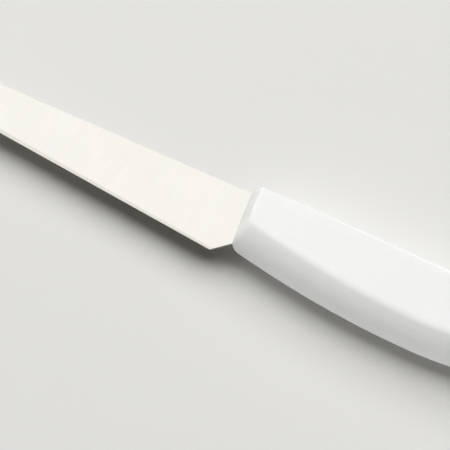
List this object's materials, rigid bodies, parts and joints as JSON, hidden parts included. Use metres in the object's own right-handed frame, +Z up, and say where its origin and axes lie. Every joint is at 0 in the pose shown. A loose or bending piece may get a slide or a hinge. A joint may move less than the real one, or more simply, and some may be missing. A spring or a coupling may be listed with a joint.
{
  "type": "cheese knife",
  "caption": "Cheese knife: a straight-backed steel blade that tapers to an upturned fork, its tang held by a core inside a white moulded handle.",
  "frame": {"origin": "middle of the knife's footprint, on the plane that the handle's lower flat rests on", "axes": "+X from the fork to the butt, +Y from the cutting edge to the back of the blade, +Z up, square to the blade's faces, with the knife lying flat"},
  "size_m": [0.239, 0.0322, 0.015],
  "materials": {
    "blade_steel": "satin stainless steel with very fine grinding lines across the blade",
    "core_plastic": "plain first-shot plastic, hidden inside the handle",
    "handle_plastic": "white plastic with a fine matt mould texture"
  },
  "bodies": {
    "root": {"blade": "blade_steel", "tang_core": "core_plastic", "handle": "handle_plastic"}
  },
  "joints": []
}
